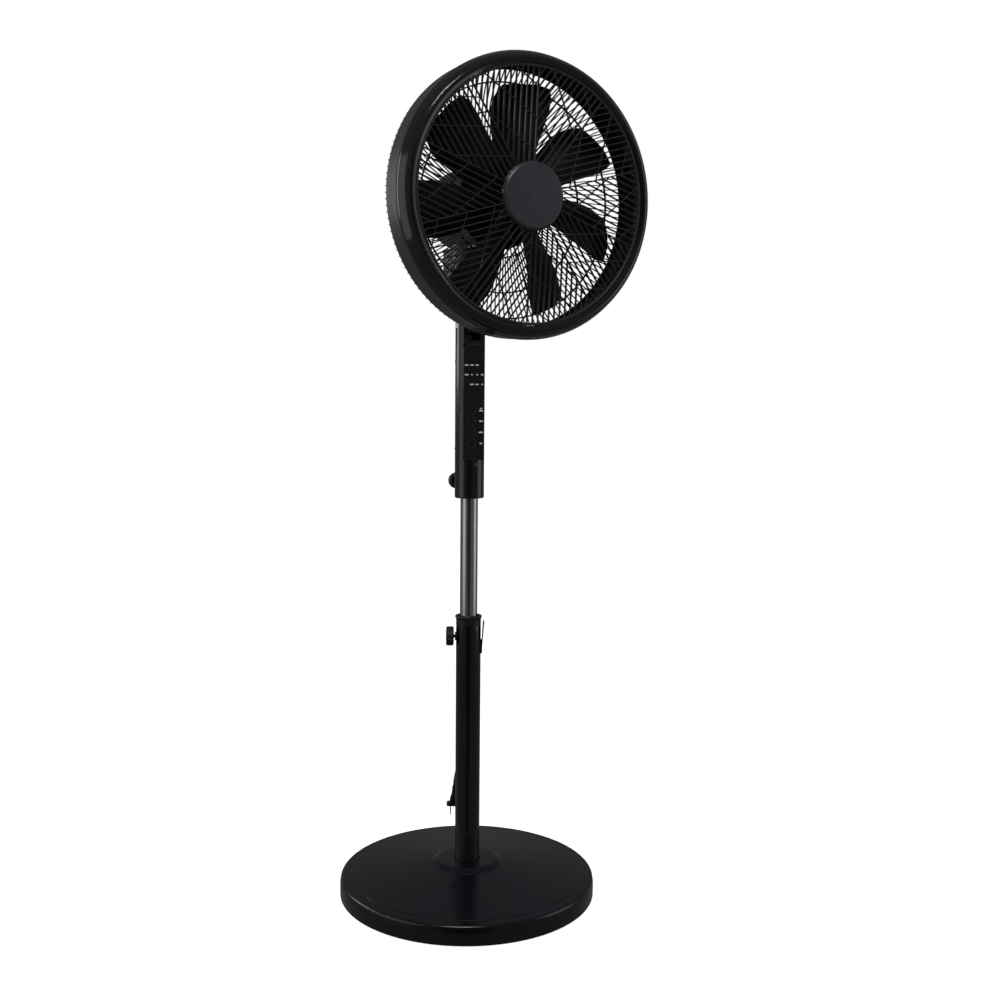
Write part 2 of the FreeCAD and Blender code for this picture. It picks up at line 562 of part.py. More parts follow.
# ---- head ----------------------------------------------------------------------------------------------
def make_swing_drive():
    boss = upright(14.0, 967.7, 995.3)
    bridge = box(-16, 16, -22, 54, 997.2, 1003)
    web = joined(box(-16, -12.2, -20, 14, 985, 1003), box(12.2, 16, -20, 14, 985, 1003))
    saddle = joined(box(-16, 16, -46, -20, 1005, 1013), box(-12, 12, -24.5, -20, 1000, 1013))
    saddle = saddle.cut(shaftwise(MOTOR_R + 0.1, -60, 0))
    frame = joined(boss.common(box(-14, 14, -14, 14, 960, 995)), web, bridge, saddle)
    frame = frame.cut(upright(PIN_R + RUN_GAP, 960, 996)).cut(upright(12.0, 995.2, 1001.5))
    keep("swivel_bracket", frame)
    motor_y = PINION_Y + 8.0
    can = upright(14.0, 976.0, 997.0, 0, motor_y)
    ears = box(-17.5, 17.5, motor_y - 3.5, motor_y + 3.5, 995.6, 997.0)
    spindle = upright(4.5, 974.6, 977.0, 0, PINION_Y)
    keep("swing_motor", joined(can, ears, spindle))
    pinion = gear(PINION_TEETH, GEAR_Z, GEAR_Z + GEAR_T, 0, PINION_Y, -90)
    keep("swing_pinion", joined(pinion, upright(2.5, GEAR_Z, 974.4, 0, PINION_Y)))

    plan = upright(30.0, 953.0, 1012.0)
    tail = plate_z([(-22, -2), (22, -2), (22, 58, 10), (-22, 58, 10)], 953.0, 1012.0)
    room_tail = plate_z([(-19.8, -2), (19.8, -2), (19.8, 55.8, 8), (-19.8, 55.8, 8)], 955.4, 1014.0)
    room = joined(upright(27.8, 955.4, 1014.0), room_tail)
    shell = joined(plan, tail).cut(room).cut(upright(17.8, 950, 956))
    shell = shell.cut(shaftwise(COVER_R + 0.3, -100, 100))
    keep("swing_housing", shell)


def make_motor():
    boss_y = MOTOR_FRONT_Y - 12
    front = spun([(11.0, boss_y), (22.5, boss_y, 1), (22.5, MOTOR_FRONT_Y), (MOTOR_R, MOTOR_FRONT_Y, 3),
                  (MOTOR_R, -52.1), (MOTOR_R - 4, -52.1), (MOTOR_R - 4, MOTOR_FRONT_Y + 5),
                  (14.0, MOTOR_FRONT_Y + 5), (11.0, -86.0)])
    keep("motor_front_housing", front)
    rear = spun([(11.0, -15.0), (20.0, -15.0, 1), (24.0, -19.0), (MOTOR_R, -19.0, 3), (MOTOR_R, -51.9),
                 (MOTOR_R - 4, -51.9), (MOTOR_R - 4, -23.0), (11.0, -23.0)])
    keep("motor_rear_housing", rear)
    keep("stator_core", spun([(30.5, -70), (MOTOR_R - 4.1, -70), (MOTOR_R - 4.1, -34), (30.5, -34)]))
    coils = [spun([(33, y), (46, y, 3), (46, y + 9, 3), (33, y + 9)]) for y in (-79.5, -33.5)]
    keep("stator_windings", Part.makeCompound(coils))
    bore = SHAFT_R + RUN_GAP
    bearings = [spun([(bore, y), (10.95, y, 0.5), (10.95, y + 7, 0.5), (bore, y + 7)])
                for y in (-96.0, -22.5)]
    keep("motor_bearings", Part.makeCompound(bearings))
    keep("motor_shaft", shaftwise(SHAFT_R, -158.0, -8.0))
    keep("rotor_core", spun([(SHAFT_R + 0.02, -70), (30.0, -70, 1), (30.0, -34, 1), (SHAFT_R + 0.02, -34)]))

    cover = spun([(COVER_R, -80.0), (COVER_R, 30.0, 30), (46.0, 62.0, 14), (0, 66.0), (0, 63.5),
                  (45.0, 59.6, 12), (COVER_R - 2.4, 29.4, 28), (COVER_R - 2.4, -80.0)])
    slots = []
    for i in range(-6, 7):
        span = math.sqrt(44.0 ** 2 - (6.2 * i) ** 2)
        slots.append(box(-span, span, 40, 80, HEAD_Z + 6.2 * i - 1.3, HEAD_Z + 6.2 * i + 1.3))
    spine = box(-3, 3, 40, 80, HEAD_Z - 50, HEAD_Z + 50)
    vents = Part.makeCompound(slots).cut(spine)
    underside = joined(upright(28.5, 990, 1030), box(-20, 20, -52, 56, 990, 1024))
    keep("motor_cover", cover.cut(vents).cut(underside))


def polygon_wire(points, y):
    corners = [V(x, y, z + HEAD_Z) for x, z in points]
    return Part.makePolygon(corners + [corners[0]])


def disc_with_holes(radius, holes, y0, y1):
    """Flat disc facing along the shaft, with straight-sided holes through it."""
    rim = Part.Wire(Part.makeCircle(radius, V(0, y0, HEAD_Z), V(0, 1, 0)))
    face = Part.Face([rim] + [polygon_wire(hole, y0) for hole in holes])
    face.validate()
    return face.extrude(V(0, y1 - y0, 0))



def pinwheel_holes():
    """Gaps between the straight ribs; each sector's ribs run parallel to its own border rib."""
    outer = LIP_R - 4.0
    inner = HUB_R + 0.5
    wedge = 2 * math.pi / SECTORS
    half = RIB_W / 2
    lean = 1 / math.tan(math.radians(BAR_LEAN))
    bar_half = half / math.sin(math.radians(BAR_LEAN))
    holes = []
    for sector in range(SECTORS):
        angle = math.radians(SECTOR_START) + wedge * sector
        along = (math.cos(angle), math.sin(angle))
        side = (-along[1], along[0])
        for strip in range(int(outer * math.sin(wedge) / RIB_PITCH) + 1):
            last = outer * math.sin(wedge) - 1
            edges = (strip * RIB_PITCH + half, min((strip + 1) * RIB_PITCH - half, last))
            if edges[1] - edges[0] < 1.5:
                continue
            for low_bar, high_bar in zip((None,) + CROSS_BARS, CROSS_BARS + (None,)):
                quad = []
                for t in edges:
                    start = t / math.tan(wedge) + half / math.sin(wedge)
                    start = max(start, math.sqrt(max(inner ** 2 - t ** 2, 0)))
                    stop = math.sqrt(outer ** 2 - t ** 2)
                    if low_bar is not None:
                        start = max(start, low_bar + lean * t + bar_half)
                    if high_bar is not None:
                        stop = min(stop, high_bar + lean * t - bar_half)
                    quad.append((t, start, stop))
                if min(stop - start for t, start, stop in quad) < 0.6:
                    continue
                (t0, start0, stop0), (t1, start1, stop1) = quad
                corners = [(t0, start0), (t0, stop0), (t1, stop1), (t1, start1)]
                holes.append([(s * along[0] + t * side[0], s * along[1] + t * side[1]) for t, s in corners])
    return holes


def spiral_holes(count, bands, lean):
    """Gaps between leaning ribs, in rings."""
    holes = []
    for inner, outer in bands:
        for i in range(count):
            middle = 2 * math.pi * i / count
            corners = []
            for radius, sign in ((inner, -1), (outer, -1), (outer, 1), (inner, 1)):
                half = math.pi / count - 1.1 / radius
                angle = middle + math.radians(lean) * math.log(radius / 60.0) + sign * half
                corners.append((radius * math.cos(angle), radius * math.sin(angle)))
            holes.append(corners)
    return holes


def make_guards():
    drum = spun([(DRUM_R - 3, DRUM_FRONT_Y + 1), (DRUM_R, DRUM_FRONT_Y + 1, 0.5), (DRUM_R, DRUM_REAR_Y, 2.5),
                 (186.0, DRUM_REAR_Y + 1.5, 1), (186.0, DRUM_REAR_Y - 1.5, 1),
                 (DRUM_R - 3, DRUM_REAR_Y - 3, 2)])
    keep("guard_drum", drum)
    dish = spun([(23.0, -92), (62.0, -92, 4), (110.0, -96.5, 20), (150.0, -108, 20), (183.0, -134.5, 2),
                 (185.8, -134.5), (185.8, -131.0), (150.5, -104.5, 20), (110.5, -93.0, 20),
                 (62.0, MOTOR_FRONT_Y - 0.1, 4), (23.0, MOTOR_FRONT_Y - 0.1)])
    bands = ((66.0, 104.0), (108.0, 143.0), (147.0, 181.0))
    sieve = disc_with_holes(186.0, spiral_holes(REAR_RIBS, bands, REAR_LEAN), -140, -86)
    keep("rear_grille", dish.common(sieve))
    nut = spun([(22.55, -99.0), (33.0, -99.0, 2), (34.0, -92.1), (22.55, -92.1)])
    spots = [polar(34.5, 36 * i, HEAD_Z) for i in range(10)]
    grips = [shaftwise(3.0, -100, -93.5, spot.x, spot.z + spot.y) for spot in spots]
    keep("guard_nut", nut.cut(Part.makeCompound(grips)))

    ring = spun([(RING_R - 1.0, -171.0), (RING_R, -171.0), (RING_R, -177.0, 6), (190.5, -188.0, 9),
                 (182.5, -196.6, 6), (LIP_R, LIP_Y - 1.6), (LIP_R, LIP_Y + 1.0), (177.0, LIP_Y + 1.2),
                 (181.8, -193.2, 4), (188.6, -186.4, 6), (RING_R - 1.0, -177.2, 5)])
    keep("front_ring", ring)
    holes = pinwheel_holes()
    shell = spun([(0, HUB_Y), (HUB_R, HUB_Y, 2), (LIP_R - 0.3, LIP_Y - 1.5), (LIP_R - 0.3, LIP_Y + 2.0),
                  (HUB_R, HUB_Y + 3.6, 2), (0, HUB_Y + 3.6)])
    sieve = disc_with_holes(LIP_R, holes, HUB_Y - 3, LIP_Y + 5)
    keep("front_grille", shell.common(sieve))
    cap = spun([(0, HUB_Y - 4.2), (43.0, HUB_Y - 3.6, 2), (45.5, HUB_Y - 1.6, 1), (45.5, HUB_Y - 0.1),
                (0, HUB_Y - 0.1)])
    keep("hub_cap", cap)
    clips = []
    for angle in (45, 135, 225, 315):
        spot = polar(185.2, angle, 0)
        clips.append(box(-6, 6, -178.6, -168, -3, 3).translated(V(spot.x, 0, HEAD_Z + spot.y)))
    body = []
    for clip, angle in zip(clips, (45, 135, 225, 315)):
        centre = polar(185.2, angle, 0)
        body.append(clip.rotated(V(centre.x, 0, HEAD_Z + centre.y), V(0, -1, 0), angle - 90))
    keep("ring_clips", Part.makeCompound(body))


def blade_section(radius):
    """Cambered section of one blade on a plane square to its radius."""
    share = (radius - 24.0) / (BLADE_TIP_R - 24.0)
    rounding = 2.0 * max(0.0, share - 0.6)
    chord = (40.0 + 62.0 * share) * math.sqrt(1.0 - rounding ** 2)
    pitch = math.radians(42.0 - 20.0 * share)
    shift = -10.0 * share + 26.0 * share ** 2
    thick = 1.7 - 0.4 * share
    camber = 0.09 * chord
    run = V(math.cos(pitch), -math.sin(pitch), 0)
    normal = V(math.sin(pitch), math.cos(pitch), 0)
    centre = V(shift, BLADE_MID_Y, HEAD_Z + radius)
    nose = centre - run * (chord / 2)
    tail = centre + run * (chord / 2)
    crown = centre - normal * camber
    front = Part.Arc(nose, crown, tail).toShape()
    lift = normal * thick
    back = Part.Arc(tail + lift, crown + lift, nose + lift).toShape()
    return Part.Wire([front, Part.LineSegment(tail, tail + lift).toShape(), back,
                      Part.LineSegment(nose + lift, nose).toShape()])


def make_rotor():
    hub = spun([(SHAFT_R + 0.02, -156.0), (20.0, -156.0, 6), (29.0, -146.0, 6), (30.0, -112.0, 1),
                (27.4, -112.0), (26.0, -144.0, 4), (12.0, -150.0), (10.0, -150.0), (10.0, -112.0),
                (SHAFT_R + 0.02, -112.0)])
    radii = (24.0, 60.0, 100.0, 125.0, 140.0, 151.0, BLADE_TIP_R - 2)
    blade = Part.makeLoft([blade_section(r) for r in radii], True, False)
    trim = shaftwise(BLADE_TIP_R, -200, -80).cut(shaftwise(24.5, -200, -80))
    blade = blade.common(trim)
    hub_centre = V(0, 0, HEAD_Z)
    blades = [blade.rotated(hub_centre, V(0, 1, 0), 360.0 * i / BLADES) for i in range(BLADES)]
    slot = box(-13, 13, -115.2, -111, HEAD_Z - 1.6, HEAD_Z + 1.6)
    cavity = spun([(10.1, -149.9), (25.9, -143.9), (27.3, -100.0), (10.1, -100.0)])
    trimmed = [b.cut(cavity) for b in blades]
    keep("fan_blade", joined(hub, *trimmed).cut(slot))
    nut = spun([(SHAFT_R + 0.02, -156.1), (13.0, -156.1, 1), (12.0, -163.0, 3), (0, -165.0), (0, -158.1),
                (SHAFT_R + 0.02, -158.1)])
    keep("blade_nut", nut)
    pin = Part.makeCylinder(1.5, 24.0, V(-12.0, -113.6, HEAD_Z), V(1, 0, 0))
    PARTS["motor_shaft"] = PARTS["motor_shaft"].cut(pin)
    keep("drive_pin", pin)


make_base()
make_pole()
make_cord()
make_column()
make_neck()
make_swing_drive()
make_motor()
make_guards()
make_rotor()

os.makedirs("parts", exist_ok=True)
for old in os.listdir("parts"):
    os.remove(os.path.join("parts", old))
for name, shape in PARTS.items():
    if not shape.isValid():
        print("not valid:", name)
    shape.exportStep("parts/" + name + ".step")
    size = shape.optimalBoundingBox(False)
    print(f"{name:22s} solids {len(shape.Solids):3d} volume {shape.Volume / 1000:9.2f} cm3 "
          f"z {size.ZMin:7.1f}..{size.ZMax:7.1f}")
print(len(PARTS), "nodes")
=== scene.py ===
import json
import math

import bmesh
import bpy
from mathutils import Matrix, Vector


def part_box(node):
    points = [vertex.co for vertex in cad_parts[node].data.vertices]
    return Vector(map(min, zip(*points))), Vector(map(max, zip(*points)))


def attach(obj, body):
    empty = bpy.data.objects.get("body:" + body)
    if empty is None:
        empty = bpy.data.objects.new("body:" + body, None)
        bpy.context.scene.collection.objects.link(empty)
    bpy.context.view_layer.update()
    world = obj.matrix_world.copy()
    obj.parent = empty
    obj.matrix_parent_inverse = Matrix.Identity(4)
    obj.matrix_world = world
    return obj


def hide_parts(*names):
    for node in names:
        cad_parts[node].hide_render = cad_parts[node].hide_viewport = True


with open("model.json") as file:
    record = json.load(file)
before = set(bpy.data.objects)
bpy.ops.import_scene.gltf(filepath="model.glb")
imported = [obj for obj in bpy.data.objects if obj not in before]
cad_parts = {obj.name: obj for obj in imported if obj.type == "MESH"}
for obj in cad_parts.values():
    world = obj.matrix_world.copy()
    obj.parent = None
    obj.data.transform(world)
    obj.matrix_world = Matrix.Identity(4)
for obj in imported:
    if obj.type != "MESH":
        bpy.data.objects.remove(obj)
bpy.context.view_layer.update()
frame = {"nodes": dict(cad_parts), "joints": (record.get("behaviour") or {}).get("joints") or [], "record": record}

MM = 0.001
JOINTS = {joint["name"]: joint for joint in frame["joints"]}
HEAD_Z = JOINTS["blade_spin"]["pos_m"][2]


# ---- camera, floor and light -----------------------------------------------------------------------
CAMERA_PLACE = Vector((-0.8551, -1.7310, 0.8444))
CAMERA_YAW = -0.4833
CAMERA_PITCH = -0.113
CAMERA_ROLL = 0.009
CAMERA_LENS = 45.52
ROOM_LIGHT = 0.12
DARK_LIGHT = 0.02
DARK_SIDE = (-0.443, -0.896, 0.0)
DARK_EDGE = (0.86, 0.97)
FLOOR_HALF = 12.0


def make_camera():
    data = bpy.data.cameras.new("camera")
    data.sensor_width = 36.0
    data.lens = CAMERA_LENS
    data.clip_end = 50.0
    camera = bpy.data.objects.new("camera", data)
    bpy.context.scene.collection.objects.link(camera)
    turn = Matrix.Rotation(CAMERA_YAW, 4, "Z") @ Matrix.Rotation(math.pi / 2 + CAMERA_PITCH, 4, "X")
    camera.matrix_world = Matrix.Translation(CAMERA_PLACE) @ turn @ Matrix.Rotation(CAMERA_ROLL, 4, "Z")
    bpy.context.scene.camera = camera


def make_light(name, place, target, width, height, power):
    data = bpy.data.lights.new(name, "AREA")
    data.shape = "RECTANGLE"
    data.size = width
    data.size_y = height
    data.energy = power
    light = bpy.data.objects.new(name, data)
    bpy.context.scene.collection.objects.link(light)
    aim = (Vector(target) - Vector(place)).to_track_quat("-Z", "Y")
    light.matrix_world = Matrix.Translation(Vector(place)) @ aim.to_matrix().to_4x4()


def make_studio():
    """The surround, four softboxes and a plain floor."""
    bpy.context.scene.view_settings.view_transform = "Standard"
    make_world()
    make_light("left_softbox", (-2.9, 0.2, 1.1), (0, 0, 0.8), 2.2, 2.6, 11)
    make_light("right_softbox", (2.3, -1.3, 1.1), (0, 0, 0.8), 1.6, 2.6, 9)
    make_light("top_softbox", (-0.9, -1.3, 3.0), (0, 0, 0.7), 1.0, 1.0, 22)
    make_light("back_softbox", (-2.2, 2.3, 1.5), (0, 0, 0.8), 1.4, 1.6, 16)
    make_floor()


def make_world():
    """White surround for the camera, a dim one for reflections, darkest in front of the object."""
    world = bpy.data.worlds.new("studio")
    world.use_nodes = True
    tree = world.node_tree
    seen = tree.nodes["Background"]
    seen.inputs["Color"].default_value = (1.0, 1.0, 1.0, 1.0)
    dim = tree.nodes.new("ShaderNodeBackground")
    dim.inputs["Color"].default_value = (0.92, 0.96, 1.0, 1.0)
    facing = tree.nodes.new("ShaderNodeVectorMath")
    facing.operation = "DOT_PRODUCT"
    facing.inputs[1].default_value = DARK_SIDE
    tree.links.new(tree.nodes.new("ShaderNodeTexCoord").outputs["Generated"], facing.inputs[0])
    falloff = tree.nodes.new("ShaderNodeMapRange")
    falloff.interpolation_type = "SMOOTHSTEP"
    ends = (*DARK_EDGE, ROOM_LIGHT, DARK_LIGHT)
    for key, value in zip(("From Min", "From Max", "To Min", "To Max"), ends):
        falloff.inputs[key].default_value = value
    tree.links.new(facing.outputs["Value"], falloff.inputs["Value"])
    tree.links.new(falloff.outputs["Result"], dim.inputs["Strength"])
    path = tree.nodes.new("ShaderNodeLightPath")
    choice = tree.nodes.new("ShaderNodeMixShader")
    tree.links.new(path.outputs["Is Camera Ray"], choice.inputs["Fac"])
    tree.links.new(dim.outputs["Background"], choice.inputs[1])
    tree.links.new(seen.outputs["Background"], choice.inputs[2])
    tree.links.new(choice.outputs["Shader"], tree.nodes["World Output"].inputs["Surface"])
    bpy.context.scene.world = world


def make_floor():
    """A floor plane that only the camera sees."""
    mesh = bpy.data.meshes.new("floor")
    corners = [(x * FLOOR_HALF, y * FLOOR_HALF, 0) for x, y in ((-1, -1), (1, -1), (1, 1), (-1, 1))]
    mesh.from_pydata(corners, [], [(0, 1, 2, 3)])
    floor = bpy.data.objects.new("floor", mesh)
    bpy.context.scene.collection.objects.link(floor)
    floor.data.materials.append(plain_floor())
    floor.visible_diffuse = False
    floor.visible_glossy = False


def plain_floor():
    """White floor lifted nearly to white, so that only a faint contact shadow shows."""
    material = bpy.data.materials.new("floor")
    material.use_nodes = True
    shader = material.node_tree.nodes["Principled BSDF"]
    shader.inputs["Base Color"].default_value = (0.9, 0.9, 0.9, 1.0)
    shader.inputs["Roughness"].default_value = 0.9
    shader.inputs["Emission Color"].default_value = (1.0, 1.0, 1.0, 1.0)
    shader.inputs["Emission Strength"].default_value = 0.93
    return material


# ---- materials ---------------------------------------------------------------------------------------
class Nodes:
    """A small helper that builds one procedural material."""

    def __init__(self, name):
        self.material = bpy.data.materials.new(name)
        self.material.use_nodes = True
        self.tree = self.material.node_tree
        self.shader = self.tree.nodes["Principled BSDF"]
        self.place = self.add("ShaderNodeTexCoord").outputs["Object"]

    def add(self, kind, **inputs):
        node = self.tree.nodes.new(kind)
        for key, value in inputs.items():
            node.inputs[key].default_value = value
        return node

    def link(self, source, target):
        self.tree.links.new(source, target)

    def scaled(self, x, y, z):
        mapping = self.add("ShaderNodeMapping")
        mapping.inputs["Scale"].default_value = (x, y, z)
        self.link(self.place, mapping.inputs["Vector"])
        return mapping.outputs["Vector"]

    def noise(self, scale, detail=3.0, rough=0.5, vector=None):
        node = self.add("ShaderNodeTexNoise", Scale=scale, Detail=detail, Roughness=rough)
        self.link(vector or self.place, node.inputs["Vector"])
        return node.outputs["Fac"]

    def spread(self, value, low, high, from_low=0.3, from_high=0.7):
        node = self.add("ShaderNodeMapRange")
        ends = (from_low, from_high, low, high)
        for key, number in zip(("From Min", "From Max", "To Min", "To Max"), ends):
            node.inputs[key].default_value = number
        self.link(value, node.inputs["Value"])
        return node.outputs["Result"]

    def mix(self, share, first, second):
        node = self.add("ShaderNodeMix")
        node.data_type = "RGBA"
        node.inputs[6].default_value = (*first, 1.0)
        node.inputs[7].default_value = (*second, 1.0)
        self.link(share, node.inputs[0])
        return node.outputs[2]

    def bump(self, height, strength, distance, below=None):
        node = self.add("ShaderNodeBump", Strength=strength, Distance=distance)
        self.link(height, node.inputs["Height"])
        if below is not None:
            self.link(below, node.inputs["Normal"])
        return node.outputs["Normal"]

    def set(self, **values):
        for key, value in values.items():
            self.shader.inputs[key.replace("_", " ")].default_value = value

    def finish(self, color=None, roughness=None, normal=None):
        if color is not None:
            self.link(color, self.shader.inputs["Base Color"])
        if roughness is not None:
            self.link(roughness, self.shader.inputs["Roughness"])
        if normal is not None:
            self.link(normal, self.shader.inputs["Normal"])
        return self.material


def shade(color, factor):
    return tuple(min(1.0, channel * factor) for channel in color)


def moulded(name, color, rough, grain=2600.0, grain_depth=0.00002, coat=0.0):
    """Moulded plastic: fine spark grain, faint flow streaks in colour and shine."""
    n = Nodes(name)
    flow = n.noise(9.0, 4.0, 0.6)
    tint = n.mix(n.spread(flow, 0.0, 1.0), shade(color, 0.86), shade(color, 1.14))
    shine = n.spread(n.noise(60.0, 3.0), rough * 0.86, rough * 1.14)
    fine = n.bump(n.noise(grain, 2.0), 0.35, grain_depth)
    n.set(Coat_Weight=coat, Coat_Roughness=0.08)
    return n.finish(tint, shine, fine)


def gloss_paint(name, color, rough=0.12):
    """Powder coat: soft orange peel under a clear gloss."""
    n = Nodes(name)
    tint = n.mix(n.spread(n.noise(14.0), 0.0, 1.0), shade(color, 0.85), shade(color, 1.2))
    peel = n.bump(n.noise(420.0, 2.0), 0.12, 0.00004)
    dust = n.spread(n.noise(900.0, 1.0), rough * 0.8, rough * 1.3)
    n.set(Coat_Weight=0.35, Coat_Roughness=0.05)
    return n.finish(tint, dust, peel)


def polished_metal(name, color, rough, lines=(3.0, 3.0, 900.0), depth=0.00001):
    """Polished or ground metal with fine lines across it and slight smears."""
    n = Nodes(name)
    smear = n.noise(18.0, 4.0, 0.55)
    tint = n.mix(n.spread(smear, 0.0, 1.0), shade(color, 0.93), shade(color, 1.05))
    grain = n.noise(1.0, 2.0, 0.5, n.scaled(*lines))
    shine = n.spread(smear, rough * 0.7, rough * 1.35)
    n.set(Metallic=1.0)
    return n.finish(tint, shine, n.bump(grain, 0.15, depth))


def cast_metal(name, color, rough, metallic):
    """Sand or die cast surface: pitted and mottled."""
    n = Nodes(name)
    mottle = n.noise(70.0, 5.0, 0.65)
    tint = n.mix(n.spread(mottle, 0.0, 1.0), shade(color, 0.72), shade(color, 1.2))
    pits = n.bump(n.noise(650.0, 4.0, 0.7), 0.5, 0.0002)
    n.set(Metallic=metallic)
    return n.finish(tint, n.spread(mottle, rough * 0.8, min(1.0, rough * 1.2)), pits)


def soft_rubber(name, color, rough):
    """Rubber or cable PVC: matt bloom with a faint pull texture."""
    n = Nodes(name)
    bloom = n.noise(45.0, 4.0, 0.6)
    tint = n.mix(n.spread(bloom, 0.0, 1.0), shade(color, 0.8), shade(color, 1.5))
    pull = n.bump(n.noise(1500.0, 2.0), 0.3, 0.00003)
    n.set(Specular_IOR_Level=0.35)
    return n.finish(tint, n.spread(bloom, rough * 0.85, min(1.0, rough * 1.15)), pull)


def banded(name, first, second, pitch, metallic, rough, axis="Y"):
    """Stacked laminations or wound wire: narrow bands along one axis."""
    n = Nodes(name)
    wave = n.add("ShaderNodeTexWave", Scale=0.5 / pitch, Distortion=0.4, Detail=2.0)
    wave.bands_direction = axis
    n.link(n.place, wave.inputs["Vector"])
    band = wave.outputs["Fac"]
    n.set(Metallic=metallic)
    wear = n.spread(n.noise(120.0, 4.0), rough * 0.8, rough * 1.2)
    return n.finish(n.mix(band, first, second), wear, n.bump(band, 0.5, pitch * 0.2))


def woven(name, color):
    """Hook and loop band: a small crossed weave."""
    n = Nodes(name)
    across = n.add("ShaderNodeTexWave", Scale=900.0, Distortion=1.0)
    along = n.add("ShaderNodeTexWave", Scale=900.0, Distortion=1.0)
    along.bands_direction = "Z"
    crossed = n.add("ShaderNodeMath")
    crossed.operation = "MULTIPLY"
    for i, wave in enumerate((across, along)):
        n.link(n.place, wave.inputs["Vector"])
        n.link(wave.outputs["Fac"], crossed.inputs[i])
    weave = crossed.outputs["Value"]
    n.set(Sheen_Weight=0.3, Roughness=0.9)
    return n.finish(n.mix(weave, shade(color, 0.6), shade(color, 2.0)), None, n.bump(weave, 0.8, 0.0003))


def glowing(material, strength):
    """The same material with a painted glow: a faint light of its own that brightens the marks."""
    shader = material.node_tree.nodes["Principled BSDF"]
    shader.inputs["Emission Color"].default_value = (0.9, 0.95, 1.0, 1.0)
    shader.inputs["Emission Strength"].default_value = strength
    return material


def make_materials():
    return {
        "base_plastic": moulded("base_plastic", (0.0045, 0.0050, 0.0085), 0.22, 1500.0, 0.000003, 0.12),
        "cast_weight": cast_metal("cast_weight", (0.06, 0.06, 0.065), 0.7, 0.6),
        "zinc_steel": polished_metal("zinc_steel", (0.55, 0.56, 0.58), 0.3),
        "foot_rubber": soft_rubber("foot_rubber", (0.02, 0.02, 0.02), 0.8),
        "black_moulded": moulded("black_moulded", (0.010, 0.010, 0.011), 0.42),
        "pole_paint": gloss_paint("pole_paint", (0.004, 0.004, 0.005)),
        "nylon": moulded("nylon", (0.72, 0.70, 0.64), 0.4),
        "lead_pvc": soft_rubber("lead_pvc", (0.010, 0.010, 0.010), 0.5),
        "tie_band": woven("tie_band", (0.015, 0.015, 0.015)),
        "plug_metal": polished_metal("plug_metal", (0.66, 0.62, 0.52), 0.22),
        "chrome_tube": polished_metal("chrome_tube", (0.50, 0.495, 0.46), 0.20),
        "column_plastic": moulded("column_plastic", (0.012, 0.012, 0.014), 0.16, 2600.0, 0.000005, 0.3),
        "panel_gloss": gloss_paint("panel_gloss", (0.003, 0.0042, 0.010), 0.06),
        "sensor_lens": moulded("sensor_lens", (0.10, 0.11, 0.12), 0.2),
        "button_plastic": moulded("button_plastic", (0.012, 0.012, 0.014), 0.25),
        "board": banded("board", (0.01, 0.10, 0.04), (0.02, 0.16, 0.06), 0.004, 0.0, 0.4, "Z"),
        "capacitor_case": moulded("capacitor_case", (0.75, 0.73, 0.66), 0.5),
        "cast_alloy": cast_metal("cast_alloy", (0.42, 0.43, 0.45), 0.45, 0.9),
        "steel": polished_metal("steel", (0.55, 0.55, 0.56), 0.2),
        "gear_acetal": moulded("gear_acetal", (0.8, 0.8, 0.76), 0.35),
        "lamination": banded("lamination", (0.10, 0.10, 0.11), (0.32, 0.32, 0.34), 0.0006, 0.8, 0.45),
        "copper_winding": banded("copper_winding", (0.35, 0.12, 0.04), (0.75, 0.36, 0.16), 0.0008, 0.9, 0.3),
        "drum_plastic": moulded("drum_plastic", (0.042, 0.042, 0.036), 0.36),
        "grille_plastic": moulded("grille_plastic", (0.034, 0.034, 0.036), 0.36),
        "ring_plastic": moulded("ring_plastic", (0.010, 0.010, 0.011), 0.14, 2600.0, 0.000005, 0.3),
        "cap_plastic": moulded("cap_plastic", (0.056, 0.060, 0.068), 0.34, 1800.0, 0.00001),
        "guard_plastic": moulded("guard_plastic", (0.006, 0.006, 0.0065), 0.4),
        # Panel print: the ink's own pale colour plus a painted glow from a faint emission.
        "print_ink_with_painted_glow": glowing(moulded("print_ink_with_painted_glow", (0.80, 0.83, 0.88), 0.5), 0.22),
        # Lighter grey for the panel's border line, a painted edge highlight, and for the rings round the buttons.
        "painted_border_highlight_and_button_rings": moulded("painted_border_highlight_and_button_rings", (0.16, 0.17, 0.19), 0.4),
        "blade_plastic": moulded("blade_plastic", (0.006, 0.006, 0.006), 0.42),
    }


def dress_nodes(materials):
    """Each CAD node gets the procedural material of its slot."""
    slots = {part["node"]: part["material_slot"] for part in frame["record"]["subparts"]}
    for name, node in frame["nodes"].items():
        node.data.materials.clear()
        node.data.materials.append(materials[slots[name]])
        for polygon in node.data.polygons:
            polygon.use_smooth = True
        add_soft_normals(node)


def add_soft_normals(piece):
    """Smooth across gentle edges only."""
    piece.data.set_sharp_from_angle(angle=math.radians(32))


# ---- power lead ----------------------------------------------------------------------------------------
LEAD_BEARING = math.radians(62.3)
LEAD_D = 0.0054
HANK_MID_OUT = 0.0413
HANK_R = 0.0169
HANK_LOW = 0.216
HANK_HIGH = 0.301
HANK_TURNS = 5
HANK_STEP = 0.0043
HANK_SLACK = 0.0014
HANK_FIRST = 6
HANK_TAIL = 14
SLACK_RATE = 2.6
SLACK_START = 0.7
LEAD_IN = ((0, 37, 348), (2.2, 50.5, 334.5), (7.0, 57.0, 316), (11.0, 57.7, 300), (13.0, 57.8, 287))
LEAD_OUT_TOP = (-13.5, 57.8, 238)
LEAD_OUT_END = (-21.5, 30.0, 160.5)
LEAD_OUT_STEPS = 8
LEAD_OUT_LATE = 0.35


